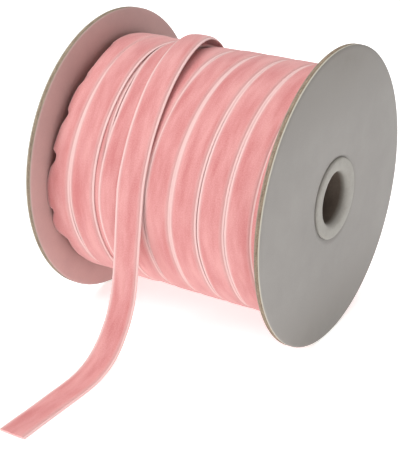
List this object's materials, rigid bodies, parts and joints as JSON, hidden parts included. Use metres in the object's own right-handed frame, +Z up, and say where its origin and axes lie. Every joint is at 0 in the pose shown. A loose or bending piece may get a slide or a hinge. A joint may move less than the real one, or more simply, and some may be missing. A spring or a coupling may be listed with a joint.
{
  "type": "ribbon spool",
  "caption": "Paperboard spool with two round flanges and a through bore, wound with narrow velvet ribbon whose loose end hangs down and lies on the table.",
  "frame": {"origin": "on the table under the middle of the spool, halfway between the flanges, where the rims stand on z = 0", "axes": "+X along the spool's axis towards the right flange, +Z up, and the loose end of the ribbon leads out along -Y"},
  "size_m": [0.0904, 0.1575, 0.102],
  "materials": {
    "liner_paper": "matte",
    "kraft_board": "matte",
    "outer_facing_paper": "satin",
    "inner_facing_paper": "matte",
    "tape_paper": "matte",
    "velvet": "matte"
  },
  "bodies": {
    "free_ribbon": {"ribbon_last_turn": "velvet", "ribbon_free_end": "velvet"},
    "spool": {"liner_tube": "liner_paper", "barrel_tube": "kraft_board", "left_flange_board": "kraft_board", "left_outer_facing": "outer_facing_paper", "left_inner_facing": "inner_facing_paper", "right_flange_board": "kraft_board", "right_outer_facing": "outer_facing_paper", "right_inner_facing": "inner_facing_paper", "end_tape": "tape_paper", "ribbon_inner_layers": "velvet", "ribbon_outer_turns": "velvet"}
  },
  "joints": [
    {"name": "spool_turn", "type": "hinge", "parent": "free_ribbon", "child": "spool", "pos_m": [0, 0, 0.051], "axis": [1, 0, 0], "continuous": true}
  ]
}
